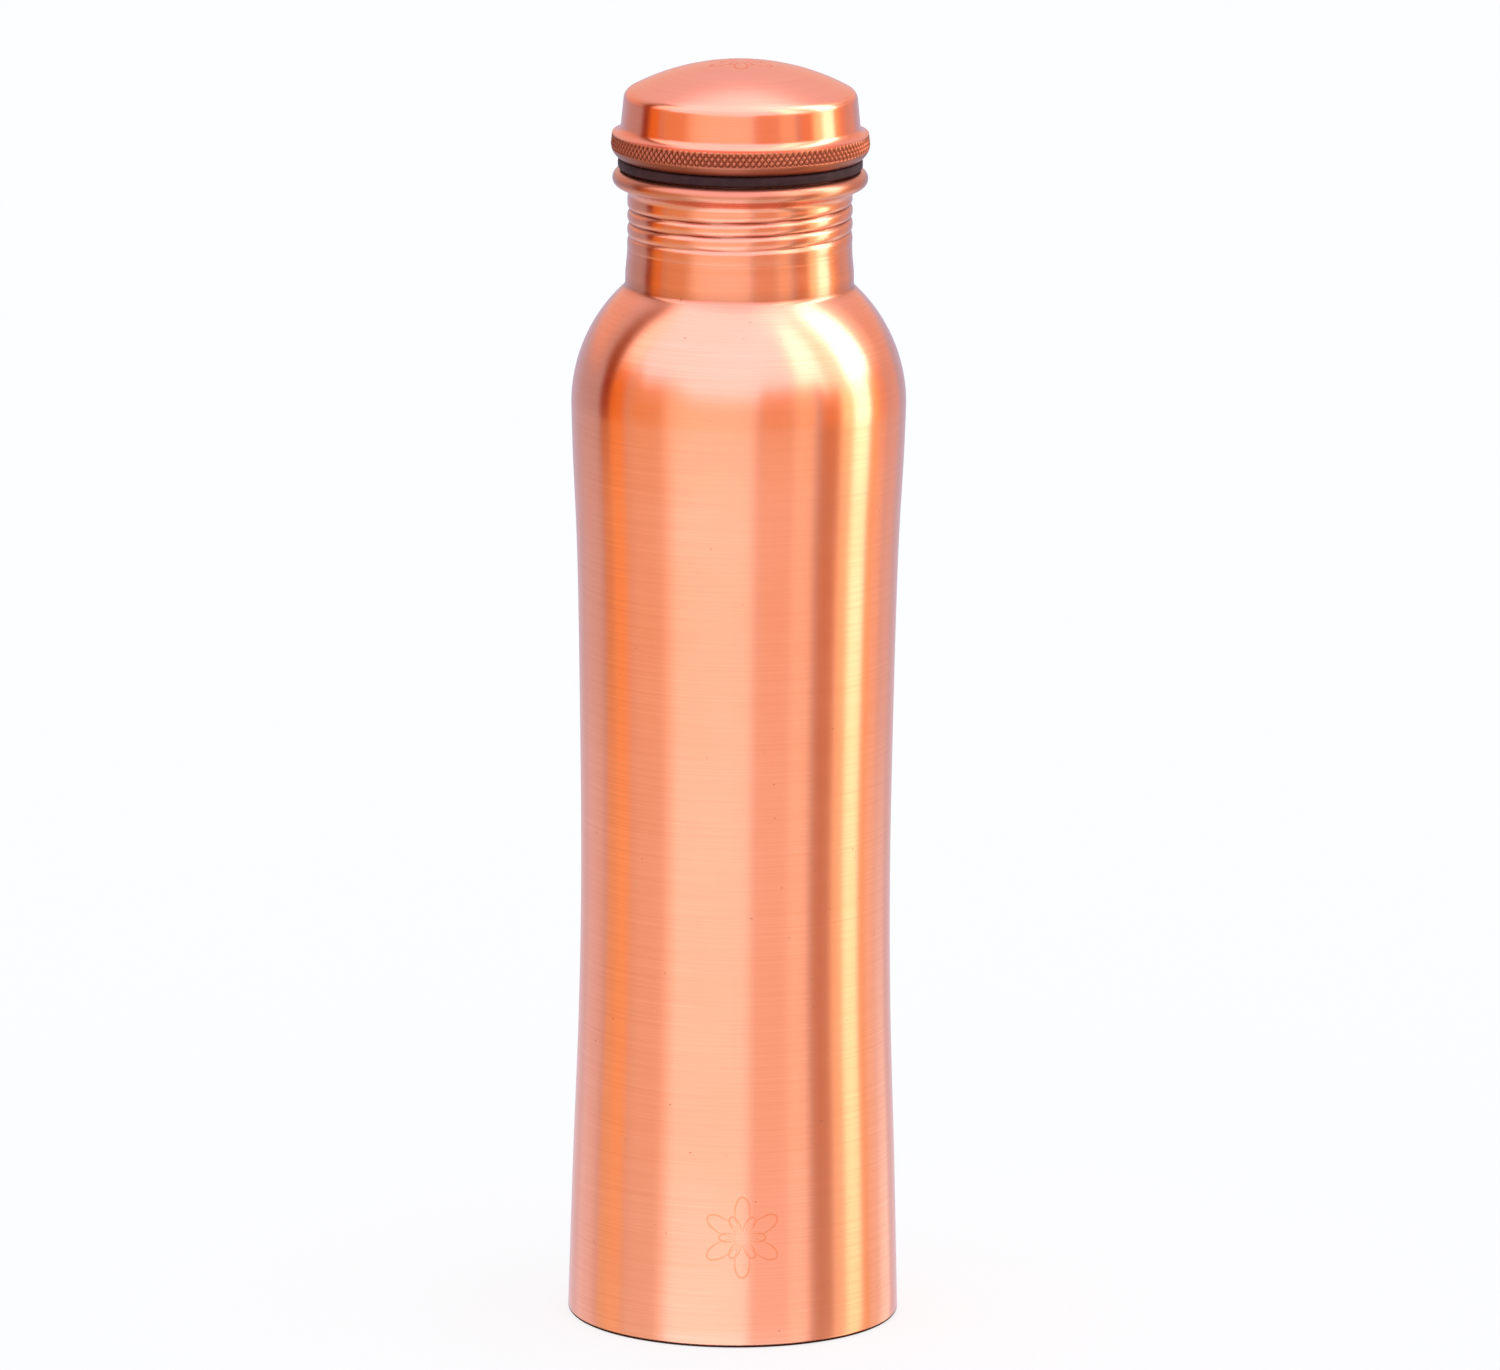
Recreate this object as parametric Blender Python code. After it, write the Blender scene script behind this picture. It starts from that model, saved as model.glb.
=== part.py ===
"""Copper water bottle with a screw cap, modelled as its separate pieces.

Units are metres, +Z is up, and the origin is the centre of the foot on the surface it stands on.
Every piece is turned about Z. A sheet-metal piece is drawn as one open outline, its outer surface,
and given its thickness on the side that lies to the left of the outline's direction of travel.
"""

import math

import bmesh
import bpy
from mathutils import Vector

MM = 0.001

# Driving dimensions of the bottle.
TOTAL_HEIGHT = 280.0 * MM
SHEET = 0.7 * MM
GAP = 0.3 * MM
SEGMENTS = 32

# Foot and wall.
FOOT_RADIUS = 36.5 * MM
FOOT_CORNER = 1.1 * MM
HEM_INNER_RADIUS = 33.2 * MM
WAIST = [(35.6, 34.0), (34.45, 68.0), (34.07, 98.0), (34.42, 132.0), (35.2, 169.5), (36.3, 193.0)]
BELLY_RADIUS = 36.68 * MM
BELLY_HEIGHT = 204.5 * MM

# Shoulder and neck.
SHOULDER_ARC = 35.0 * MM
SHOULDER_FILLET = 1.8 * MM
NECK_ROOT_RADIUS = 25.0 * MM
NECK_RADIUS = 24.62 * MM
NECK_TAPER = (233.6 * MM, 237.4 * MM)
NECK_TOP_RADIUS = 24.5 * MM

# Mouth bead, rolled outwards and back in over the mouth.
BEAD_CENTRE = (26.08 * MM, 254.35 * MM)
BEAD_RADIUS = 1.85 * MM
BEAD_FILLET = 2.2 * MM
BEAD_END = math.radians(200.0)

# Right-hand rolled thread shared by the neck and the plug.
PITCH = 3.0 * MM
THREAD_DEPTH = 0.65 * MM
THREAD_FRONT = 248.15 * MM
THREAD_ROWS_PER_TURN = 4
NECK_THREAD = (237.6 * MM, 249.9 * MM)
NECK_THREAD_FADE_IN = (249.9 * MM, 249.4 * MM)
NECK_THREAD_FADE_OUT = (238.2 * MM, 244.5 * MM)

# Cap cover.
DOME_RADIUS = 51.0 * MM
SKIRT_RADIUS = 25.6 * MM
SKIRT_CORNER = 2.7 * MM
LIP_BOTTOM = 258.9 * MM
LIP_INNER_RADIUS = 25.3 * MM
LIP_ARC_CENTRE = (24.78 * MM, 262.0 * MM)
LIP_ARC = 3.52 * MM
KNURL_TOP = (28.1 * MM, 263.8 * MM)
FLARE_CENTRE = (28.2 * MM, 266.4 * MM)
FLARE_ARC = 2.1 * MM

# Plug, a cup that hangs from its flange inside the neck.
PLUG_RADIUS = 23.55 * MM
PLUG_BOTTOM = 237.0 * MM
PLUG_CHAMFER = (21.6 * MM, 238.4 * MM)
PLUG_THREAD_TOP = 251.4 * MM
PLUG_THREAD_FADE = (251.2 * MM, 250.4 * MM)
FLANGE_HEIGHT = 260.2 * MM
FLANGE_RADIUS = 26.6 * MM

# Gasket.
GASKET_RADII = (23.95 * MM, 26.7 * MM)
GASKET_HEIGHTS = (256.45 * MM, 258.65 * MM)
GASKET_CORNER = 0.6 * MM

# Bottom disc, pressed with a raised centre.
DISC_FLANGE_HEIGHT = SHEET + GAP
DISC_RADIUS = 35.4 * MM
DISC_STEP = [(30.4, 2.4), (31.6, 2.0), (32.6, 1.0)]
DISC_CENTRE_HEIGHT = 4.0 * MM


def arc(centre, radius, start, end, steps):
    """Points of a round stretch, from angle start to angle end in radians, both ends included."""
    points = []
    for step in range(steps + 1):
        angle = start + (end - start) * step / steps
        points.append((centre[0] + radius * math.cos(angle), centre[1] + radius * math.sin(angle)))
    return points


def scaled(points):
    """Points written in millimetres, as metres."""
    return [(radius * MM, height * MM) for radius, height in points]


def left_normal(start, end):
    direction = (Vector(end) - Vector(start)).normalized()
    return Vector((-direction.y, direction.x))


def sheet(outline):
    """Closed outline of bent sheet: the outer surface, then the same line set back by the sheet."""
    normals = [left_normal(a, b) for a, b in zip(outline, outline[1:])]
    inner = []
    for index, point in enumerate(outline):
        before = normals[max(index - 1, 0)]
        after = normals[min(index, len(normals) - 1)]
        middle = (before + after).normalized()
        offset = Vector(point) + middle * (SHEET / middle.dot(after))
        if point[0] == 0.0:
            offset = Vector((0.0, point[1] + math.copysign(SHEET, middle.y)))
        inner.append((offset.x, offset.y))
    return outline + inner[::-1]


def ramp(value, start, end):
    """0 at start, 1 at end, in either direction, with soft ends."""
    t = min(max((value - start) / (end - start), 0.0), 1.0)
    return t * t * (3.0 - 2.0 * t)


def groove(x, y, z, depth_at):
    """Depth of the helical groove at a point; depth_at gives the full depth at a turn's height."""
    turn_fraction = (math.atan2(y, x) + math.pi / 2) / (2 * math.pi)
    height = THREAD_FRONT + PITCH * turn_fraction
    turns = (z - height) / PITCH
    nearest = round(turns)
    wave = 0.5 + 0.5 * math.cos(2 * math.pi * (turns - nearest))
    return depth_at(height + PITCH * nearest) * wave


def neck_depth(height):
    """The neck's groove starts sharply under the bead and runs out slowly towards the shoulder."""
    return THREAD_DEPTH * ramp(height, *NECK_THREAD_FADE_IN) * ramp(height, *NECK_THREAD_FADE_OUT)


def plug_depth(height):
    return THREAD_DEPTH * ramp(height, *PLUG_THREAD_FADE)


def roll_thread(mesh, low, high, depth_at):
    """Press the groove into both surfaces of the sheet between two heights."""
    for vertex in mesh.verts:
        x, y, z = vertex.co
        if low <= z <= high:
            radius = math.hypot(x, y)
            scale = (radius - groove(x, y, z, depth_at)) / radius
            vertex.co.x *= scale
            vertex.co.y *= scale


def thread_rows(radius, low, high):
    rows = round((high - low) / PITCH * THREAD_ROWS_PER_TURN)
    return [(radius, low + (high - low) * row / rows) for row in range(rows + 1)]


def material(name, colour, metallic, roughness):
    result = bpy.data.materials.new(name)
    result.use_nodes = True
    shader = result.node_tree.nodes["Principled BSDF"]
    shader.inputs["Base Color"].default_value = (*colour, 1.0)
    shader.inputs["Metallic"].default_value = metallic
    shader.inputs["Roughness"].default_value = roughness
    result.diffuse_color = (*colour, 1.0)
    return result


def turned(name, outline, finish, thread=None):
    """Spin an outline about Z into a named object; thread is (low, high, depth function)."""
    mesh = bmesh.new()
    verts = [mesh.verts.new((radius, 0.0, height)) for radius, height in outline]
    edges = [mesh.edges.new(pair) for pair in zip(verts, verts[1:])]
    if outline[0][0] > 0.0:
        edges.append(mesh.edges.new((verts[-1], verts[0])))
    bmesh.ops.spin(mesh, geom=verts + edges, cent=(0, 0, 0), axis=(0, 0, 1), dvec=(0, 0, 0),
                   angle=2 * math.pi, steps=SEGMENTS, use_merge=True)
    bmesh.ops.remove_doubles(mesh, verts=mesh.verts, dist=0.001 * MM)
    if thread:
        roll_thread(mesh, *thread)
    bmesh.ops.recalc_face_normals(mesh, faces=mesh.faces)
    if mesh.calc_volume(signed=True) < 0.0:
        bmesh.ops.reverse_faces(mesh, faces=mesh.faces)
    data = bpy.data.meshes.new(name)
    mesh.to_mesh(data)
    mesh.free()
    data.materials.append(finish)
    data.shade_smooth()
    data.set_sharp_from_angle(angle=math.radians(50))
    piece = bpy.data.objects.new(name, data)
    bpy.context.collection.objects.link(piece)
    return piece


def shoulder_outline():
    """Round shoulder, then the hollow fillet where it meets the neck."""
    centre = (BELLY_RADIUS - SHOULDER_ARC, BELLY_HEIGHT)
    across = NECK_ROOT_RADIUS + SHOULDER_FILLET - centre[0]
    rise = math.sqrt((SHOULDER_ARC + SHOULDER_FILLET) ** 2 - across ** 2)
    meeting = math.atan2(rise, across)
    fillet_centre = (NECK_ROOT_RADIUS + SHOULDER_FILLET, BELLY_HEIGHT + rise)
    fillet = arc(fillet_centre, SHOULDER_FILLET, math.pi + meeting, math.pi, 2)
    return arc(centre, SHOULDER_ARC, 0.0, meeting, 4)[1:] + fillet[1:]


def bead_outline():
    """Hollow fillet above the neck, then the bead rolled over and into the mouth."""
    centre_radius = NECK_TOP_RADIUS + BEAD_FILLET
    across = centre_radius - BEAD_CENTRE[0]
    drop = math.sqrt((BEAD_RADIUS + BEAD_FILLET) ** 2 - across ** 2)
    meeting = math.atan2(-drop, across)
    fillet_centre = (centre_radius, BEAD_CENTRE[1] - drop)
    fillet = arc(fillet_centre, BEAD_FILLET, math.pi, math.pi + meeting, 2)
    return fillet + arc(BEAD_CENTRE, BEAD_RADIUS, meeting, BEAD_END, 8)[1:]


def body_outline():
    corner_centre = (FOOT_RADIUS - FOOT_CORNER, FOOT_CORNER)
    foot = [(HEM_INNER_RADIUS, 0.0)] + arc(corner_centre, FOOT_CORNER, -math.pi / 2, 0.0, 2)
    wall = scaled(WAIST) + [(BELLY_RADIUS, BELLY_HEIGHT)]
    neck_foot = [(NECK_ROOT_RADIUS, NECK_TAPER[0])]
    thread = thread_rows(NECK_RADIUS, *NECK_THREAD)
    return foot + wall + shoulder_outline() + neck_foot + thread + bead_outline()


def cap_outline():
    """From the lip's inner edge, up the outside, to the middle of the dome."""
    lip_start = math.asin((LIP_BOTTOM - LIP_ARC_CENTRE[1]) / LIP_ARC)
    lip = [(LIP_INNER_RADIUS, LIP_BOTTOM)] + arc(LIP_ARC_CENTRE, LIP_ARC, lip_start, 0.0, 3)
    flare = arc(FLARE_CENTRE, FLARE_ARC, math.radians(-95), math.radians(-180), 3)
    dome_centre = (0.0, TOTAL_HEIGHT - DOME_RADIUS)
    corner_radius = SKIRT_RADIUS - SKIRT_CORNER
    corner_rise = math.sqrt((DOME_RADIUS - SKIRT_CORNER) ** 2 - corner_radius ** 2)
    meeting = math.atan2(corner_rise, corner_radius)
    corner = arc((corner_radius, dome_centre[1] + corner_rise), SKIRT_CORNER, 0.0, meeting, 3)
    dome = arc(dome_centre, DOME_RADIUS, meeting, math.pi / 2, 4)[1:-1]
    return lip + [KNURL_TOP] + flare + corner + dome + [(0.0, TOTAL_HEIGHT)]


def plug_outline():
    bottom = [(0.0, PLUG_BOTTOM), (PLUG_CHAMFER[0], PLUG_BOTTOM)]
    wall = thread_rows(PLUG_RADIUS, PLUG_CHAMFER[1], PLUG_THREAD_TOP)
    return bottom + wall + [(PLUG_RADIUS, FLANGE_HEIGHT), (FLANGE_RADIUS, FLANGE_HEIGHT)]


def gasket_outline():
    """Flat ring with rounded edges."""
    corners = [(1, 0, -90), (1, 1, 0), (0, 1, 90), (0, 0, 180)]
    outline = []
    for side, level, start in corners:
        centre = (GASKET_RADII[side] + (1 - 2 * side) * GASKET_CORNER,
                  GASKET_HEIGHTS[level] + (1 - 2 * level) * GASKET_CORNER)
        outline += arc(centre, GASKET_CORNER, math.radians(start), math.radians(start + 90), 1)
    return outline


def disc_outline():
    """Underside of the bottom disc, from its middle out to its flange."""
    rise = DISC_CENTRE_HEIGHT - DISC_STEP[0][1] * MM
    edge = DISC_STEP[0][0] * MM
    crown = [(edge * part, DISC_CENTRE_HEIGHT - rise * part ** 2) for part in (0.0, 0.55)]
    return crown + scaled(DISC_STEP) + [(DISC_RADIUS, DISC_FLANGE_HEIGHT)]


def fillet_ring(corner, leg):
    """Hollow-faced ring of filler in a corner; its face looks towards the axis and up."""
    radius, height = corner
    hollow = [(radius - 0.08 * leg, height + leg), (radius - 0.45 * leg, height + 0.45 * leg)]
    return [(radius - leg, height), (radius, height)] + hollow


def build():
    for old in list(bpy.data.objects):
        bpy.data.objects.remove(old, do_unlink=True)

    wall_copper = material("wall_copper", (0.91, 0.49, 0.30), 1.0, 0.28)
    cap_copper = material("cap_copper", (0.90, 0.47, 0.29), 1.0, 0.26)
    plug_copper = material("plug_copper", (0.86, 0.45, 0.28), 1.0, 0.35)
    disc_copper = material("disc_copper", (0.86, 0.46, 0.29), 1.0, 0.34)
    braze = material("braze", (0.80, 0.62, 0.36), 1.0, 0.45)
    solder = material("solder", (0.66, 0.64, 0.61), 1.0, 0.45)
    rubber = material("rubber", (0.045, 0.02, 0.02), 0.0, 0.55)

    turned("body_shell", sheet(body_outline()), wall_copper, (*NECK_THREAD, neck_depth))
    turned("base_disc", sheet(disc_outline()), disc_copper)
    disc_top = DISC_FLANGE_HEIGHT + SHEET
    braze_corner = (FOOT_RADIUS - SHEET - GAP, disc_top + GAP)
    turned("base_braze_ring", fillet_ring(braze_corner, 1.6 * MM), braze)

    turned("gasket_ring", gasket_outline(), rubber)

    turned("cap_shell", sheet(cap_outline()), cap_copper)
    turned("cap_plug", sheet(plug_outline()), plug_copper,
           (PLUG_CHAMFER[1] - 0.01 * MM, PLUG_THREAD_TOP, plug_depth))
    solder_corner = (LIP_ARC_CENTRE[0] + LIP_ARC - SHEET - 1.4 * GAP, FLANGE_HEIGHT + SHEET + GAP)
    turned("cap_solder_ring", fillet_ring(solder_corner, 1.7 * MM), solder)


build()
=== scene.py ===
"""Looks of the copper water bottle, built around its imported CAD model.

Lengths are metres in the frame of the CAD model: +Z up, origin at the centre of the foot.
Every sheet-metal and rubber piece is turned again here at full smoothness, with the rolled thread,
the diamond knurl and the mouth bead as real geometry, and rides on the CAD body it belongs to. The
braze and the solder keep their CAD meshes.
"""

import math

import bpy
import numpy as np
from mathutils import Matrix, Vector


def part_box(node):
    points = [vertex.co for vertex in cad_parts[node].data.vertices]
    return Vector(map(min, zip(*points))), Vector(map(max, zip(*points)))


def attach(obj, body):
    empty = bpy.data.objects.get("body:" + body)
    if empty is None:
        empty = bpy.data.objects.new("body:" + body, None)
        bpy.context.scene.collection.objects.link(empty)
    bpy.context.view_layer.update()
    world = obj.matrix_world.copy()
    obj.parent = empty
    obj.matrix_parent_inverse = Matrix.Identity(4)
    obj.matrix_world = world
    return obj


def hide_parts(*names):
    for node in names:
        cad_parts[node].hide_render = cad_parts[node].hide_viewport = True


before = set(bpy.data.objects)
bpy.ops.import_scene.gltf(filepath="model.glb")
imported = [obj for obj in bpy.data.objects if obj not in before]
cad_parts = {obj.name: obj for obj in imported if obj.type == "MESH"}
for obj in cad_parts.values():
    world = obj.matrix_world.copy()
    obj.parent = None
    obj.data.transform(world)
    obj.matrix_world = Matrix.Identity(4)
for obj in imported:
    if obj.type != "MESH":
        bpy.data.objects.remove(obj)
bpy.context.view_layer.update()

MM = 0.001

# Sheet thickness and the heights and radii that the frame gives.
SHEET = 0.7 * MM
TOTAL_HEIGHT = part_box("cap_shell")[1].z
LIP_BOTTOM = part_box("cap_shell")[0].z
BELLY_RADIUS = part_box("body_shell")[1].x
MOUTH_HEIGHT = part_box("body_shell")[1].z
FLANGE_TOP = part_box("cap_plug")[1].z
PLUG_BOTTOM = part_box("cap_plug")[0].z

# Foot, wall and shoulder.
FOOT_RADIUS = 36.5 * MM
FOOT_CORNER = 1.1 * MM
HEM_INNER_RADIUS = 33.2 * MM
WAIST = [(35.6, 34.0), (34.45, 68.0), (34.07, 98.0), (34.42, 132.0), (35.2, 169.5), (36.3, 193.0)]
WALL_ROWS_PER_SPAN = 6
BELLY_HEIGHT = 204.5 * MM
SHOULDER_ARC = 35.0 * MM
SHOULDER_FILLET = 1.8 * MM

# Neck and mouth bead.
NECK_ROOT_RADIUS = 25.0 * MM
NECK_RADIUS = 24.62 * MM
NECK_TAPER = (233.6 * MM, 237.4 * MM)
NECK_TOP_RADIUS = 24.5 * MM
BEAD_RADIUS = 1.85 * MM
BEAD_CENTRE = (26.08 * MM, MOUTH_HEIGHT - BEAD_RADIUS)
BEAD_FILLET = 2.2 * MM
BEAD_END = math.radians(200.0)

# Right-hand rolled thread shared by the neck and the plug, and two spun lines under it.
PITCH = 3.0 * MM
THREAD_DEPTH = 0.65 * MM
THREAD_FRONT = 248.15 * MM
THREAD_SHARPNESS = 1.6
NECK_THREAD = (237.6 * MM, 249.9 * MM)
NECK_THREAD_FADE_IN = (249.9 * MM, 249.4 * MM)
NECK_THREAD_FADE_OUT = (238.2 * MM, 244.5 * MM)
SPUN_LINES = (238.7 * MM, 241.9 * MM)
SPUN_LINE_DEPTH = 0.07 * MM
SPUN_LINE_WIDTH = 0.28 * MM
PLUG_THREAD_FADE = (251.2 * MM, 250.4 * MM)

# Cap cover and its knurl.
DOME_RADIUS = 51.0 * MM
SKIRT_RADIUS = 25.6 * MM
SKIRT_CORNER = 2.7 * MM
LIP_INNER_RADIUS = 25.3 * MM
LIP_ARC_CENTRE = (24.78 * MM, 262.0 * MM)
LIP_ARC = 3.52 * MM
KNURL_TOP = (28.1 * MM, 263.8 * MM)
FLARE_CENTRE = (28.2 * MM, 266.4 * MM)
FLARE_ARC = 2.1 * MM
KNURL_COUNT = 128
KNURL_DEPTH = 0.34 * MM
KNURL_BAND = (260.95 * MM, 264.1 * MM)
KNURL_EDGE = 0.25 * MM
KNURL_SLOPE = math.tan(math.radians(34.0))
KNURL_FLAT = 1 / 3

# Plug, gasket and bottom disc.
PLUG_RADIUS = 23.55 * MM
PLUG_CHAMFER = (21.6 * MM, 238.4 * MM)
PLUG_THREAD_TOP = 251.4 * MM
FLANGE_RADIUS = 26.6 * MM
GASKET_RADII = (23.95 * MM, 26.75 * MM)
GASKET_CORNER = 0.75 * MM
GASKET_SQUEEZE = 0.12 * MM
DISC_RADIUS = 35.4 * MM
DISC_FLANGE_HEIGHT = 1.0 * MM
DISC_STEP = [(30.4, 2.4), (31.6, 2.0), (32.6, 1.0)]
DISC_CENTRE_HEIGHT = 4.0 * MM

# Etched rosettes: one across the front and up from the foot, and one on the crown.
FRONT_MOTIF = (2.1 * MM, 24.9 * MM)
FRONT_MOTIF_RADIUS = 9.0 * MM
FRONT_MOTIF_LINE = 0.20 * MM
CROWN_MOTIF_RADIUS = 7.6 * MM
CROWN_MOTIF_LINE = 0.28 * MM
CROWN_MOTIF_DEPTH = 2.2 * MM
MOTIF_PETALS = 6
MOTIF_SHORT_PETAL = 0.58
MOTIF_CENTRE = 0.17

# Fineness of the turned meshes, and the bend above which an edge is drawn sharp.
ROUND_SEGMENTS = 256
CAP_SEGMENTS = KNURL_COUNT * 8
SHARP_BEND = math.radians(50)

# Camera: a long lens far from the bottle, a little above it and rolled slightly.
CAMERA_DISTANCE = 2.94
CAMERA_HEIGHT = 0.75
CAMERA_SIDE = 0.0029
AIM_HEIGHT = 0.1412
LENS = 327.6
ROLL = math.radians(0.40)


# ---------------------------------------------------------------- outlines

def arc(centre, radius, start, end, steps):
    """Points of a round stretch, from angle start to angle end in radians, both ends included."""
    angles = np.linspace(start, end, steps + 1)
    return [(centre[0] + radius * math.cos(a), centre[1] + radius * math.sin(a)) for a in angles]


def smooth_through(points):
    """A Catmull-Rom curve through the points, both ends included."""
    spans = [points[0]] + points + [points[-1]]
    curve = []
    for before, start, end, after in zip(spans, spans[1:], spans[2:], spans[3:]):
        for row in range(WALL_ROWS_PER_SPAN):
            t = row / WALL_ROWS_PER_SPAN
            curve.append(tuple(
                0.5 * (2 * b + (c - a) * t + (2 * a - 5 * b + 4 * c - d) * t ** 2
                       + (3 * b - a - 3 * c + d) * t ** 3)
                for a, b, c, d in zip(before, start, end, after)))
    return curve + [points[-1]]


def scaled(points):
    """Points written in millimetres, as metres."""
    return [(radius * MM, height * MM) for radius, height in points]


def straight(start, end, rows):
    return [tuple(point) for point in np.linspace(start, end, rows + 1)]


def left_normal(start, end):
    direction = (Vector(end) - Vector(start)).normalized()
    return Vector((-direction.y, direction.x))


def sheet(outline):
    """Closed outline of bent sheet: the outer surface, then the same line set back by the sheet."""
    normals = [left_normal(a, b) for a, b in zip(outline, outline[1:])]
    inner = []
    for index, point in enumerate(outline):
        before = normals[max(index - 1, 0)]
        after = normals[min(index, len(normals) - 1)]
        middle = (before + after).normalized()
        offset = Vector(point) + middle * (SHEET / middle.dot(after))
        if point[0] == 0.0:
            offset = Vector((0.0, point[1] + math.copysign(SHEET, middle.y)))
        inner.append((offset.x, offset.y))
    return outline + inner[::-1]


def shoulder_outline():
    """Round shoulder, then the hollow fillet where it meets the neck."""
    centre = (BELLY_RADIUS - SHOULDER_ARC, BELLY_HEIGHT)
    across = NECK_ROOT_RADIUS + SHOULDER_FILLET - centre[0]
    rise = math.sqrt((SHOULDER_ARC + SHOULDER_FILLET) ** 2 - across ** 2)
    meeting = math.atan2(rise, across)
    fillet_centre = (NECK_ROOT_RADIUS + SHOULDER_FILLET, BELLY_HEIGHT + rise)
    fillet = arc(fillet_centre, SHOULDER_FILLET, math.pi + meeting, math.pi, 8)
    return arc(centre, SHOULDER_ARC, 0.0, meeting, 24)[1:] + fillet[1:]


def bead_outline():
    """Hollow fillet above the neck, then the bead rolled over and into the mouth."""
    centre_radius = NECK_TOP_RADIUS + BEAD_FILLET
    across = centre_radius - BEAD_CENTRE[0]
    drop = math.sqrt((BEAD_RADIUS + BEAD_FILLET) ** 2 - across ** 2)
    meeting = math.atan2(-drop, across)
    fillet_centre = (centre_radius, BEAD_CENTRE[1] - drop)
    fillet = arc(fillet_centre, BEAD_FILLET, math.pi, math.pi + meeting, 10)
    return fillet + arc(BEAD_CENTRE, BEAD_RADIUS, meeting, BEAD_END, 32)[1:]


def body_outline():
    corner_centre = (FOOT_RADIUS - FOOT_CORNER, FOOT_CORNER)
    foot = [(HEM_INNER_RADIUS, 0.0)] + arc(corner_centre, FOOT_CORNER, -math.pi / 2, 0.0, 8)
    wall = smooth_through([foot[-1]] + scaled(WAIST) + [(BELLY_RADIUS, BELLY_HEIGHT)])
    neck_foot = straight((NECK_ROOT_RADIUS, NECK_TAPER[0]), (NECK_RADIUS, NECK_THREAD[0]), 3)[:-1]
    thread = straight((NECK_RADIUS, NECK_THREAD[0]), (NECK_RADIUS, NECK_THREAD[1]), 50)
    return foot + wall[1:] + shoulder_outline() + neck_foot + thread + bead_outline()


def cap_outline():
    """From the lip's inner edge, up the outside, to the middle of the dome."""
    lip_start = math.asin((LIP_BOTTOM - LIP_ARC_CENTRE[1]) / LIP_ARC)
    knurl_start = math.asin((KNURL_BAND[0] - LIP_ARC_CENTRE[1]) / LIP_ARC)
    lip = [(LIP_INNER_RADIUS, LIP_BOTTOM)] + arc(LIP_ARC_CENTRE, LIP_ARC, lip_start, knurl_start, 6)
    knurl = arc(LIP_ARC_CENTRE, LIP_ARC, knurl_start, 0.0, 8)[1:]
    knurl += straight(knurl[-1], KNURL_TOP, 12)[1:]
    flare = arc(FLARE_CENTRE, FLARE_ARC, math.radians(-95), math.radians(-180), 10)
    dome_centre = (0.0, TOTAL_HEIGHT - DOME_RADIUS)
    corner_radius = SKIRT_RADIUS - SKIRT_CORNER
    corner_rise = math.sqrt((DOME_RADIUS - SKIRT_CORNER) ** 2 - corner_radius ** 2)
    meeting = math.atan2(corner_rise, corner_radius)
    corner = arc((corner_radius, dome_centre[1] + corner_rise), SKIRT_CORNER, 0.0, meeting, 8)
    dome = arc(dome_centre, DOME_RADIUS, meeting, math.pi / 2, 20)[1:-1]
    return lip + knurl + flare + corner + dome + [(0.0, TOTAL_HEIGHT)]


def plug_outline():
    bottom = straight((0.0, PLUG_BOTTOM), (PLUG_CHAMFER[0], PLUG_BOTTOM), 6)
    wall = straight((PLUG_RADIUS, PLUG_CHAMFER[1]), (PLUG_RADIUS, PLUG_THREAD_TOP), 52)
    flange_height = FLANGE_TOP - SHEET
    return bottom + wall + [(PLUG_RADIUS, flange_height), (FLANGE_RADIUS, flange_height)]


def gasket_outline():
    """Flat ring with rounded edges, squeezed up against the cap's lip."""
    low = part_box("gasket_ring")[0].z
    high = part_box("gasket_ring")[1].z
    heights = (low, high + GASKET_SQUEEZE)
    outline = []
    for side, level, start in [(1, 0, -90), (1, 1, 0), (0, 1, 90), (0, 0, 180)]:
        centre = (GASKET_RADII[side] + (1 - 2 * side) * GASKET_CORNER,
                  heights[level] + (1 - 2 * level) * GASKET_CORNER)
        outline += arc(centre, GASKET_CORNER, math.radians(start), math.radians(start + 90), 6)
    return outline


def disc_outline():
    """Underside of the bottom disc, from its middle out to its flange."""
    rise = DISC_CENTRE_HEIGHT - DISC_STEP[0][1] * MM
    edge = DISC_STEP[0][0] * MM
    crown = [(edge * part, DISC_CENTRE_HEIGHT - rise * part ** 2) for part in np.linspace(0.0, 0.9, 10)]
    return crown + scaled(DISC_STEP) + [(DISC_RADIUS, DISC_FLANGE_HEIGHT)]


# ---------------------------------------------------------------- turned meshes

def ramp(value, start, end):
    """0 at start, 1 at end, in either direction, with soft ends; value may be an array."""
    t = np.clip((value - start) / (end - start), 0.0, 1.0)
    return t * t * (3.0 - 2.0 * t)


def groove(angle, height, depth_at):
    """Depth of the helical groove; depth_at gives the full depth at a turn's height."""
    turn_fraction = ((angle + math.pi / 2) / (2 * math.pi) + 0.5) % 1.0 - 0.5
    start = THREAD_FRONT + PITCH * turn_fraction
    turns = (height - start) / PITCH
    nearest = np.round(turns)
    notch = 1.0 - np.abs(np.sin(math.pi * (turns - nearest)))
    return depth_at(start + PITCH * nearest) * notch ** THREAD_SHARPNESS


def neck_depth(height):
    return THREAD_DEPTH * ramp(height, *NECK_THREAD_FADE_IN) * ramp(height, *NECK_THREAD_FADE_OUT)


def plug_depth(height):
    return THREAD_DEPTH * ramp(height, *PLUG_THREAD_FADE)


def neck_relief(angle, radius, height):
    """The rolled thread and two spun lines under it press into both faces of the neck."""
    inside = (height >= NECK_THREAD[0]) & (height <= NECK_THREAD[1])
    spun = sum(SPUN_LINE_DEPTH * np.exp(-((height - line) / SPUN_LINE_WIDTH) ** 2) for line in SPUN_LINES)
    return np.where(inside, groove(angle, height, neck_depth) + spun, 0.0)


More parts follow.
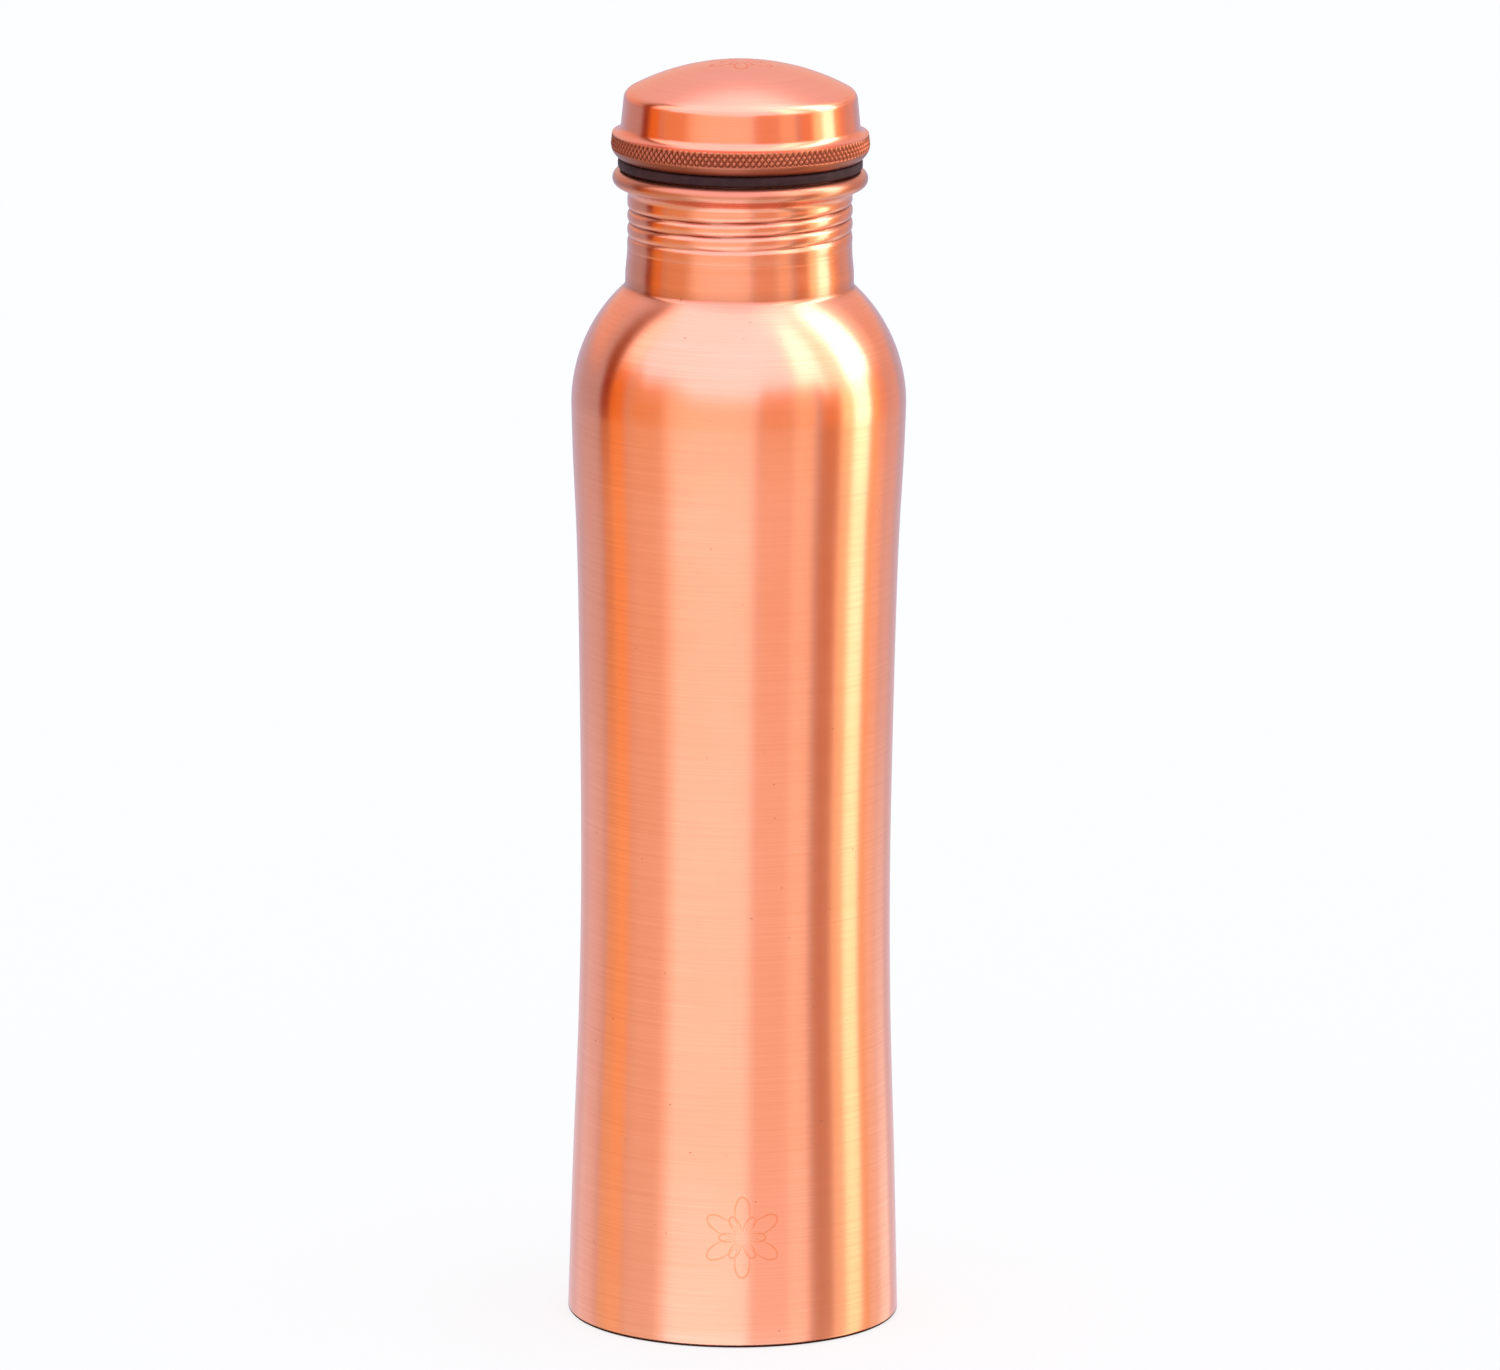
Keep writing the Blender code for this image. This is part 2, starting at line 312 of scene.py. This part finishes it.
def plug_relief(angle, radius, height):
    inside = (height > PLUG_CHAMFER[1] - 0.01 * MM) & (height <= PLUG_THREAD_TOP)
    return np.where(inside, groove(angle, height, plug_depth), 0.0)


def knurl_relief(angle, radius, height):
    """Two crossing sets of V grooves leave a diamond with a small flat top between them."""
    pitch = 2 * math.pi * LIP_ARC_CENTRE[0] / KNURL_COUNT
    across = KNURL_COUNT * angle / (2 * math.pi)
    along = (height - KNURL_BAND[0]) * KNURL_SLOPE / pitch
    first = np.abs(across + along - np.round(across + along))
    second = np.abs(across - along - np.round(across - along))
    diamond = np.minimum(np.minimum(first, second) / KNURL_FLAT, 1.0)
    low, high = KNURL_BAND
    band = ramp(height, low, low + KNURL_EDGE) * ramp(height, high, high - KNURL_EDGE)
    outside = radius > LIP_ARC_CENTRE[0] + LIP_ARC - 0.5 * SHEET
    return np.where(outside, KNURL_DEPTH * band * (1.0 - diamond), 0.0)


def cap_tarnish_and_shade(depth, radius, height):
    """Dark tarnishing over the whole knurled lip, darkest in the knurl's grooves, with painted shade on
    the lip's underside.
    """
    low, high = KNURL_BAND
    lip = ramp(height, high + 0.5 * MM, high - 0.1 * MM)
    groove_part = np.clip(depth / KNURL_DEPTH, 0.0, 1.0) ** 0.7
    # The last term is painted shade on the lip's underside, below the knurl.
    darkness = 0.60 + 0.40 * groove_part + 0.25 * ramp(height, low + 0.3 * MM, low - 0.5 * MM)
    outside = radius > LIP_INNER_RADIUS + 0.2 * MM
    return np.where(outside, lip * np.minimum(darkness, 1.0), 0.0)


def neck_tarnish_and_shade(depth, radius, height):
    """Above its taper the neck is darker and duller than the body, most of all in the thread's roots;
    painted shade darkens the upper bead and the crease at the neck's foot.
    """
    upper_neck = 0.16 * ramp(height, NECK_TAPER[0] - 1.0 * MM, NECK_TAPER[0] + 0.5 * MM)
    # Painted shade: the bead's upper part is darkened as if the cap's lip and the gasket shaded it.
    bead = 0.30 * ramp(height, NECK_THREAD[1], BEAD_CENTRE[1] + 0.3 * BEAD_RADIUS)
    root = 0.65 * ramp(depth / THREAD_DEPTH, 0.40, 0.95)
    # Painted shade: the crease where the shoulder meets the neck is darkened to hide its bright
    # reflection.
    crease = 0.40 * np.exp(-((height - NECK_TAPER[0] + 2.6 * MM) / (0.9 * MM)) ** 2)
    return np.minimum(upper_neck + bead + root + crease, 1.0)


def turned(name, outline, material, body, segments=ROUND_SEGMENTS, relief=None, tarnish_and_shade=None):
    """Turn an outline about Z into a mesh piece that stands for the CAD node of the same name.

    relief(angle, radius, height) is pressed into the surface. The last argument, called with
    (relief, radius, height), gives how far tarnishing and painted shade darken the surface, from 0 to 1.
    """
    rows = np.array(outline)
    closed = rows[0][0] > 0.0
    ring_rows = rows if closed else rows[1:-1]
    angles = np.linspace(0.0, 2 * math.pi, segments, endpoint=False) - math.pi
    radius, angle = np.meshgrid(ring_rows[:, 0], angles, indexing="ij")
    height = np.repeat(ring_rows[:, 1:], segments, axis=1)
    depth = relief(angle, radius, height) if relief else np.zeros_like(radius)
    darkening = tarnish_and_shade(depth, radius, height) if tarnish_and_shade else np.zeros_like(radius)
    radius = radius - depth
    verts = np.stack([radius * np.cos(angle), radius * np.sin(angle), height], axis=-1).reshape(-1, 3)

    count = len(ring_rows)
    row_index = np.arange(count if closed else count - 1)
    first = (row_index[:, None] * segments + np.arange(segments)).ravel()
    step = (row_index[:, None] * segments + (np.arange(segments) + 1) % segments).ravel()
    total = count * segments
    faces = np.stack([first, step, (step + segments) % total, (first + segments) % total],
                     axis=-1).tolist()
    if not closed:
        verts = np.vstack([verts, [0.0, 0.0, rows[0][1]], [0.0, 0.0, rows[-1][1]]])
        first_pole, last_pole = total, total + 1
        last_ring = total - segments
        for k in range(segments):
            following = (k + 1) % segments
            faces.append([first_pole, following, k])
            faces.append([last_pole, last_ring + k, last_ring + following])

    data = bpy.data.meshes.new(name + "_turned")
    data.from_pydata(verts.tolist(), [], faces)
    data.shade_smooth()
    data.set_sharp_from_angle(angle=SHARP_BEND)
    data.materials.append(material)
    values = np.zeros(len(verts))
    values[:darkening.size] = darkening.ravel()
    data.attributes.new("tarnish_and_shade", "FLOAT", "POINT").data.foreach_set("value", values)
    piece = bpy.data.objects.new(name + "_turned", data)
    bpy.context.collection.objects.link(piece)
    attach(piece, body)
    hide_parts(name)
    return piece


# ---------------------------------------------------------------- materials

# The first dark colour below is mixed in both for tarnishing and for painted shade.
TARNISH_AND_SHADE = (0.16, 0.03, 0.010, 1.0)
SPOTTED = (0.30, 0.10, 0.05, 1.0)
ETCHED = (0.80, 0.20, 0.07, 1.0)
RUBBER = (0.026, 0.004, 0.005, 1.0)
DUSTY_RUBBER = (0.055, 0.016, 0.019, 1.0)
BRAZE = (0.80, 0.62, 0.36)
SOLDER = (0.66, 0.64, 0.61)


class Graph:
    """A material's node tree, with short calls for the nodes used here."""

    def __init__(self, name):
        self.material = bpy.data.materials.new(name)
        self.material.use_nodes = True
        self.tree = self.material.node_tree
        self.shader = self.tree.nodes["Principled BSDF"]

    def node(self, kind, inputs=(), **settings):
        made = self.tree.nodes.new(kind)
        for key, value in settings.items():
            setattr(made, key, value)
        for key, value in dict(inputs).items():
            self.put(made.inputs[key], value)
        return made

    def put(self, socket, value):
        if isinstance(value, bpy.types.NodeSocket):
            self.tree.links.new(value, socket)
        else:
            socket.default_value = value

    def math(self, operation, *values):
        return self.node("ShaderNodeMath", dict(enumerate(values)), operation=operation).outputs[0]

    def length(self, first, second):
        squares = self.math("MULTIPLY_ADD", second, second, self.math("MULTIPLY", first, first))
        return self.math("SQRT", squares)

    def mix_colour(self, factor, first, second, blend="MIX"):
        made = self.node("ShaderNodeMix", data_type="RGBA", blend_type=blend)
        self.put(made.inputs["Factor"], factor)
        self.put(made.inputs["A"], first)
        self.put(made.inputs["B"], second)
        return made.outputs["Result"]

    def stretch(self, value, low, high, new_low, new_high):
        """Map a value's range onto a new one, held at both ends."""
        inputs = {"Value": value, "From Min": low, "From Max": high, "To Min": new_low, "To Max": new_high}
        return self.node("ShaderNodeMapRange", inputs).outputs["Result"]

    def noise(self, vector, scale, detail=2.0, roughness=0.5):
        inputs = {"Vector": vector, "Scale": scale, "Detail": detail, "Roughness": roughness}
        return self.node("ShaderNodeTexNoise", inputs).outputs["Fac"]

    def place(self):
        """The rest position, its parts, and its distance from the axis."""
        position = self.node("ShaderNodeTexCoord").outputs["Object"]
        parts = self.node("ShaderNodeSeparateXYZ", {"Vector": position}).outputs
        return position, parts, self.length(parts[0], parts[1])

    def along_rings(self, parts, radius, around, across):
        """A vector that changes slowly round the axis and fast from one ring to the next."""
        ring = self.math("SUBTRACT", parts[2], radius)
        values = {0: self.math("MULTIPLY", parts[0], around), 1: self.math("MULTIPLY", parts[1], around),
                  2: self.math("MULTIPLY", ring, across)}
        return self.node("ShaderNodeCombineXYZ", values).outputs[0]


def etched_motif(graph, across, up, radius, line):
    """Mask of a plain etched rosette: six long petals and six short ones, drawn in outline."""
    reach = graph.length(across, up)
    turn = graph.math("MULTIPLY", graph.math("ARCTAN2", up, across), MOTIF_PETALS / 2)
    mask = None
    for wave, other_wave, share in [("SINE", "COSINE", 1.0), ("COSINE", "SINE", MOTIF_SHORT_PETAL)]:
        tip = share * radius
        edge = graph.math("MULTIPLY", graph.math("ABSOLUTE", graph.math(wave, turn)), tip)
        slope = graph.math("MULTIPLY", graph.math(other_wave, turn), tip * MOTIF_PETALS / 2)
        squareness = graph.math("DIVIDE", reach, graph.length(reach, slope))
        off_line = graph.math("MULTIPLY", graph.math("SUBTRACT", reach, edge),
                              graph.math("MAXIMUM", squareness, 0.4))
        outline = graph.math("COMPARE", off_line, 0.0, line)
        mask = graph.math("MAXIMUM", mask, outline) if mask else outline
    clear_centre = graph.math("GREATER_THAN", reach, MOTIF_CENTRE * radius)
    return graph.math("MULTIPLY", mask, clear_centre)


def front_motif(graph, parts):
    """The rosette low on the front of the body, worn fainter than the one on the crown."""
    turn = graph.math("ARCTAN2", parts[0], graph.math("MULTIPLY", parts[1], -1.0))
    across = graph.math("MULTIPLY_ADD", turn, FOOT_RADIUS, -FRONT_MOTIF[0])
    up = graph.math("SUBTRACT", parts[2], FRONT_MOTIF[1])
    mask = etched_motif(graph, across, up, FRONT_MOTIF_RADIUS, FRONT_MOTIF_LINE)
    return graph.math("MULTIPLY", mask, 0.65)


def crown_motif(graph, parts):
    """The rosette on the cap's crown. It marks both faces of the dome, and the inner one is hidden."""
    mask = etched_motif(graph, parts[0], parts[1], CROWN_MOTIF_RADIUS, CROWN_MOTIF_LINE)
    above = graph.math("GREATER_THAN", parts[2], TOTAL_HEIGHT - CROWN_MOTIF_DEPTH)
    return graph.math("MULTIPLY", mask, above)


def brushed_copper(name, colour, roughness, grain=0.7, motif=None, brushing=1.0):
    """Copper brushed round its axis: fine rings, slow tone changes, specks, tarnishing in the relief, and
    painted shade.
    """
    graph = Graph(name)
    shader = graph.shader
    position, parts, radius = graph.place()
    fine = graph.noise(graph.along_rings(parts, radius, 26.0, 2900.0), 1.0, 3.0, 0.65)
    broad = graph.noise(graph.along_rings(parts, radius, 18.0, 420.0), 1.0, 2.0, 0.5)
    cloud = graph.noise(position, 42.0, 3.0, 0.55)
    speck = graph.noise(position, 900.0, 1.0, 0.4)

    deep = tuple(c * k for c, k in zip(colour, (0.93, 0.82, 0.74)))
    streaks = graph.stretch(fine, 0.34, 0.74, 0.0, 0.70)
    tone = graph.mix_colour(streaks, (*colour, 1.0), (*deep, 1.0))
    tone = graph.mix_colour(graph.stretch(cloud, 0.42, 0.72, 0.0, 0.3), tone, (*deep, 1.0))
    spots = graph.stretch(speck, 0.78, 0.83, 0.0, 0.6)
    tone = graph.mix_colour(spots, tone, SPOTTED)
    # The darkening attribute holds tarnishing and painted shade, and both are mixed towards one dark
    # colour.
    tarnish_and_shade = graph.node("ShaderNodeAttribute", attribute_name="tarnish_and_shade").outputs["Fac"]
    tone = graph.mix_colour(tarnish_and_shade, tone, TARNISH_AND_SHADE)

    level = graph.math("MULTIPLY_ADD", fine, 0.10 * brushing, roughness - 0.05 * brushing)
    level = graph.math("MULTIPLY_ADD", broad, 0.04, graph.math("SUBTRACT", level, 0.02))
    level = graph.math("MULTIPLY_ADD", spots, 0.2, level)
    level = graph.math("MULTIPLY_ADD", tarnish_and_shade, 0.15, level)
    if motif:
        mask = motif(graph, parts)
        tone = graph.mix_colour(graph.math("MULTIPLY", mask, 0.85), tone, ETCHED)
        level = graph.math("MULTIPLY_ADD", mask, 0.12, level)

    relief = graph.math("MULTIPLY_ADD", broad, 0.3, fine)
    bump = graph.node("ShaderNodeBump", {"Strength": 0.10 * brushing, "Distance": 0.02 * MM,
                                         "Height": relief})
    tangent = graph.node("ShaderNodeTangent", direction_type="RADIAL", axis="Z")
    graph.put(shader.inputs["Base Color"], tone)
    graph.put(shader.inputs["Roughness"], level)
    graph.put(shader.inputs["Normal"], bump.outputs[0])
    graph.put(shader.inputs["Tangent"], tangent.outputs[0])
    shader.inputs["Metallic"].default_value = 1.0
    shader.inputs["Anisotropic"].default_value = grain
    shader.inputs["Anisotropic Rotation"].default_value = 0.25
    return graph.material


def filler_metal(name, colour):
    """Braze or solder: dull, slightly rippled and stained."""
    graph = Graph(name)
    position = graph.place()[0]
    ripple = graph.noise(position, 700.0, 3.0, 0.6)
    stain = graph.noise(position, 160.0, 2.0, 0.5)
    dark = tuple(0.55 * c for c in colour)
    graph.put(graph.shader.inputs["Base Color"],
              graph.mix_colour(graph.stretch(stain, 0.4, 0.7, 0.0, 0.7), (*colour, 1.0), (*dark, 1.0)))
    graph.put(graph.shader.inputs["Roughness"], graph.stretch(ripple, 0.3, 0.7, 0.34, 0.56))
    bump = graph.node("ShaderNodeBump", {"Strength": 0.4, "Distance": 0.1 * MM, "Height": ripple})
    graph.put(graph.shader.inputs["Normal"], bump.outputs[0])
    graph.shader.inputs["Metallic"].default_value = 1.0
    return graph.material


def moulded_rubber():
    """Dark red-brown rubber with a fine moulded grain, dust in the pores and a dull sheen."""
    graph = Graph("gasket_rubber")
    position = graph.place()[0]
    grain = graph.noise(position, 5200.0, 3.0, 0.6)
    dust = graph.noise(position, 260.0, 4.0, 0.6)
    graph.put(graph.shader.inputs["Base Color"],
              graph.mix_colour(graph.stretch(dust, 0.4, 0.75, 0.0, 0.8), RUBBER, DUSTY_RUBBER))
    graph.put(graph.shader.inputs["Roughness"], graph.stretch(grain, 0.3, 0.7, 0.48, 0.66))
    bump = graph.node("ShaderNodeBump", {"Strength": 0.25, "Distance": 0.03 * MM, "Height": grain})
    graph.put(graph.shader.inputs["Normal"], bump.outputs[0])
    graph.shader.inputs["Specular IOR Level"].default_value = 0.2
    return graph.material


def polish_dome(cap, dome_copper):
    """The dome is buffed, with hardly any grain; the skirt and lip keep the brushed finish."""
    cap.data.materials.append(dome_copper)
    crease = TOTAL_HEIGHT - DOME_RADIUS + math.sqrt((DOME_RADIUS - SKIRT_CORNER) ** 2
                                                    - (SKIRT_RADIUS - SKIRT_CORNER) ** 2)
    for face in cap.data.polygons:
        if face.center.z > crease + 0.5 * SKIRT_CORNER:
            face.material_index = 1


def make_pieces():
    body_copper = brushed_copper("body_copper", (0.95, 0.37, 0.22), 0.22, motif=front_motif)
    cap_copper = brushed_copper("cap_copper", (0.93, 0.31, 0.176), 0.22)
    dome_copper = brushed_copper("dome_copper", (0.95, 0.36, 0.21), 0.24, grain=0.15,
                                 motif=crown_motif, brushing=0.5)
    disc_copper = brushed_copper("disc_copper", (0.90, 0.35, 0.20), 0.34)
    plug_copper = brushed_copper("plug_copper", (0.90, 0.35, 0.20), 0.34)
    turned("body_shell", sheet(body_outline()), body_copper, "bottle",
           relief=neck_relief, tarnish_and_shade=neck_tarnish_and_shade)
    turned("base_disc", sheet(disc_outline()), disc_copper, "bottle")
    cap = turned("cap_shell", sheet(cap_outline()), cap_copper, "cap",
                 segments=CAP_SEGMENTS, relief=knurl_relief, tarnish_and_shade=cap_tarnish_and_shade)
    polish_dome(cap, dome_copper)
    turned("cap_plug", sheet(plug_outline()), plug_copper, "cap", relief=plug_relief)
    turned("gasket_ring", gasket_outline(), moulded_rubber(), "gasket")
    finishes = {"base_braze_ring": filler_metal("braze", BRAZE),
                "cap_solder_ring": filler_metal("solder", SOLDER)}
    for node, finish in finishes.items():
        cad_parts[node].data.materials.clear()
        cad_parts[node].data.materials.append(finish)


# ---------------------------------------------------------------- studio

# The light tent round the bottle, as panels of cloth and card. Azimuth is in degrees, 0 towards the
# camera and positive to its right. Low panels are what the upright wall mirrors. Bank panels hang
# above them and are mirrored by the shoulder; a bank cut raises their lower edge by so many degrees.
# A panel hangs in front of those listed before it.
TENT_RADIUS = 0.9
TENT_CENTRE_HEIGHT = TOTAL_HEIGHT / 2
LOW_ELEVATIONS = (-20.0, -13.0, -6.0)
# What hangs behind and between the low panels, at the three elevations, lowest first.
LOW_BACK = ((0.78, 0.78, 0.92), (0.70, 0.68, 0.79), (0.56, 0.60, 0.80))
LOW_PANELS = [
    # centre, half width, edge, then the colours at the three elevations, lowest first
    (-26.0, 38.0, 10.0, (1.65, 1.98, 2.55), (1.24, 1.14, 1.05), (1.22, 1.12, 0.94)),
    (-42.0, 2.5, 4.0, (1.65, 1.96, 2.50), (1.38, 1.28, 1.20), (1.22, 1.08, 0.88)),
    (-66.0, 16.0, 16.0, (0.92, 0.95, 0.98), (1.00, 0.93, 0.88), (0.90, 0.55, 0.25)),
    (-92.0, 8.0, 6.0, (0.98, 0.90, 0.70), (1.18, 0.76, 0.32), (0.92, 0.35, 0.03)),
    (-104.0, 5.5, 4.0, (0.90, 0.86, 0.70), (1.10, 0.78, 0.40), (0.30, 0.04, 0.0)),
    (-128.0, 13.0, 10.0, (0.92, 0.98, 1.15), (0.82, 0.80, 0.92), (0.56, 0.56, 0.70)),
    (26.0, 12.0, 8.0, (1.14, 1.25, 1.48), (0.98, 0.86, 0.73), (0.92, 0.58, 0.34)),
    (46.0, 8.0, 6.0, (1.35, 1.45, 1.60), (1.06, 1.03, 0.98), (1.12, 0.88, 0.62)),
    (66.0, 8.0, 5.0, (0.66, 0.54, 0.50), (0.45, 0.29, 0.24), (0.84, 0.38, 0.12)),
    (80.0, 5.5, 6.0, (1.10, 1.10, 0.98), (0.92, 0.74, 0.57), (1.60, 1.65, 1.00)),
    (93.5, 8.0, 5.0, (1.90, 1.90, 1.52), (2.20, 2.15, 1.60), (3.60, 3.60, 3.40)),
    (107.5, 4.5, 4.0, (0.92, 0.74, 0.48), (0.92, 0.74, 0.46), (1.20, 0.85, 0.30)),
    (117.0, 6.0, 5.0, (1.00, 1.00, 0.98), (1.06, 0.98, 0.90), (0.92, 0.58, 0.45)),
    (134.0, 9.0, 8.0, (1.25, 1.42, 1.50), (0.78, 0.76, 0.86), (0.80, 0.62, 0.62)),
]
BANK_BACK = (0.58, 0.60, 0.76)
BANK_PANELS = [
    # centre, half width, edge, colour
    (-20.0, 62.0, 12.0, (1.85, 1.87, 2.65)),
    (-90.0, 9.0, 6.0, (1.90, 1.90, 2.10)),
    (-105.5, 7.5, 6.0, (0.32, 0.09, 0.01)),
    (54.0, 12.0, 12.0, (3.30, 3.30, 3.80)),
    (74.0, 8.0, 5.0, (2.10, 2.00, 2.00)),
    (96.0, 13.0, 6.0, (5.50, 5.50, 6.50)),
    (118.0, 8.0, 6.0, (1.45, 1.45, 1.35)),
]
# The bank, the ceiling and the back wall each take over between the two elevations of their edge.
BANK_EDGE = (13.5, 19.5)
BANK_CUTS = [
    # centre, half width, edge, how far the bank's lower edge is raised
    (38.0, 23.0, 5.0, 6.0),
    (-55.0, 17.0, 20.0, 6.0),
    (-85.0, 12.0, 8.0, 8.0),
]
CEILING = (1.85, 1.87, 2.60)
CEILING_RIGHT = (2.30, 2.30, 3.00)
CEILING_EDGE = (52.0, 70.0)
# The wall behind the bottle: its colours low and high, and the elevations they lie between.
BACK_WALL = ((0.92, 0.68, 0.60), (0.94, 0.86, 1.05))
BACK_WALL_RISE = (20.0, 50.0)
BACK_WALL_EDGE = (6.0, 16.0)

# The lit table, a dark disc under the foot's edge that its reflections show as painted contact shadow, and
# the white room that the camera sees.
TABLE_RADIUS = 6.0
TABLE_COLOUR = (0.22, 0.22, 0.24, 1.0)
TABLE_GLOW = (0.99, 1.0, 1.0, 1.0)
TABLE_GLOW_STRENGTH = 0.77
CONTACT_SHADOW_RADIUS = FOOT_RADIUS + 0.6 * MM
CONTACT_SHADOW_HEIGHT = 0.01 * MM
CONTACT_SHADOW_COLOUR = (0.02, 0.01, 0.012, 1.0)
ROOM_COLOUR = (0.985, 0.995, 0.992, 1.0)


def panel_weight(azimuth, centre, half_width, edge):
    offset = np.abs((azimuth - centre + 180.0) % 360.0 - 180.0)
    return ramp(offset, half_width + edge / 2, half_width - edge / 2)


def blend(colour, other, part):
    return colour + (np.array(other) - colour) * part


def tent_colour(azimuth, elevation):
    """Light of the tent in one direction from the bottle's middle."""
    low = np.array(LOW_BACK)
    for centre, half_width, edge, *colours in LOW_PANELS:
        low = blend(low, colours, panel_weight(azimuth, centre, half_width, edge))
    colour = np.array([np.interp(elevation, LOW_ELEVATIONS, channel) for channel in low.T])
    bank = np.array(BANK_BACK)
    for centre, half_width, edge, light in BANK_PANELS:
        bank = blend(bank, light, panel_weight(azimuth, centre, half_width, edge))
    over_edge = elevation - sum(rise * panel_weight(azimuth, centre, half_width, edge)
                                for centre, half_width, edge, rise in BANK_CUTS)
    colour = blend(colour, bank, ramp(over_edge, *BANK_EDGE))
    wall = blend(np.array(BACK_WALL[0]), BACK_WALL[1], ramp(elevation, *BACK_WALL_RISE))
    behind = 1.0 - panel_weight(azimuth, 0.0, 120.0, 30.0)
    colour = blend(colour, wall, behind * ramp(elevation, *BACK_WALL_EDGE))
    ceiling = blend(np.array(CEILING), CEILING_RIGHT, panel_weight(azimuth, 100.0, 60.0, 60.0))
    return blend(colour, ceiling, ramp(elevation, *CEILING_EDGE))


def light_tent():
    """A closed tent of glowing cloth, seen by the bottle's reflections but not by the camera."""
    bpy.ops.mesh.primitive_uv_sphere_add(segments=360, ring_count=120, radius=TENT_RADIUS,
                                         location=(0.0, 0.0, TENT_CENTRE_HEIGHT))
    tent = bpy.context.object
    tent.name = "light_tent"
    layer = tent.data.color_attributes.new("glow", "FLOAT_COLOR", "POINT")
    for vertex, item in zip(tent.data.vertices, layer.data):
        x, y, z = vertex.co
        azimuth = math.degrees(math.atan2(x, -y))
        elevation = math.degrees(math.atan2(z, math.hypot(x, y)))
        item.color = (*tent_colour(azimuth, elevation), 1.0)
    material = bpy.data.materials.new("tent_cloth")
    material.use_nodes = True
    nodes, links = material.node_tree.nodes, material.node_tree.links
    nodes.clear()
    glow = nodes.new("ShaderNodeAttribute")
    glow.attribute_name = "glow"
    light = nodes.new("ShaderNodeEmission")
    out = nodes.new("ShaderNodeOutputMaterial")
    links.new(glow.outputs["Color"], light.inputs["Color"])
    links.new(light.outputs[0], out.inputs["Surface"])
    tent.data.materials.append(material)
    tent.visible_camera = False
    tent.visible_diffuse = False
    tent.visible_shadow = False


def stage_disc(name, radius, height):
    """A round sheet lying level, and the shader of its own material."""
    bpy.ops.mesh.primitive_circle_add(vertices=96, radius=radius, fill_type="NGON",
                                      location=(0.0, 0.0, height))
    disc = bpy.context.object
    disc.name = name
    disc.visible_shadow = False
    graph = Graph(name)
    graph.shader.inputs["Specular IOR Level"].default_value = 0.0
    disc.data.materials.append(graph.material)
    return disc, graph.shader


def table():
    """A lit white table wide enough to fill the view, and a dark disc under the foot that paints a contact
    shadow into its reflections.
    """
    top, shader = stage_disc("table", TABLE_RADIUS, 0.0)
    shader.inputs["Base Color"].default_value = TABLE_COLOUR
    shader.inputs["Emission Color"].default_value = TABLE_GLOW
    shader.inputs["Emission Strength"].default_value = TABLE_GLOW_STRENGTH
    top.visible_glossy = False
    # Painted shadow: a black disc just wider than the foot, which its rounded edge mirrors as a dark
    # contact line.
    contact_shadow, shader = stage_disc("painted_contact_shadow", CONTACT_SHADOW_RADIUS, CONTACT_SHADOW_HEIGHT)
    shader.inputs["Base Color"].default_value = CONTACT_SHADOW_COLOUR
    contact_shadow.visible_camera = False
    contact_shadow.visible_diffuse = False


def studio():
    light_tent()
    table()
    world = bpy.data.worlds.new("studio")
    world.use_nodes = True
    background = world.node_tree.nodes["Background"]
    background.inputs["Color"].default_value = ROOM_COLOUR
    background.inputs["Strength"].default_value = 1.0
    bpy.context.scene.world = world
    bpy.context.scene.view_settings.view_transform = "Standard"


def camera():
    data = bpy.data.cameras.new("camera")
    data.lens = LENS
    data.sensor_width = 36.0
    data.clip_end = 50.0
    eye = bpy.data.objects.new("camera", data)
    bpy.context.collection.objects.link(eye)
    eye.location = (CAMERA_SIDE, -CAMERA_DISTANCE, CAMERA_HEIGHT)
    aim = Vector((CAMERA_SIDE, 0.0, AIM_HEIGHT)) - eye.location
    look = aim.to_track_quat("-Z", "Y").to_matrix()
    eye.rotation_mode = "QUATERNION"
    eye.rotation_quaternion = (look @ Matrix.Rotation(ROLL, 3, "Z")).to_quaternion()
    bpy.context.scene.camera = eye


camera()
make_pieces()
studio()
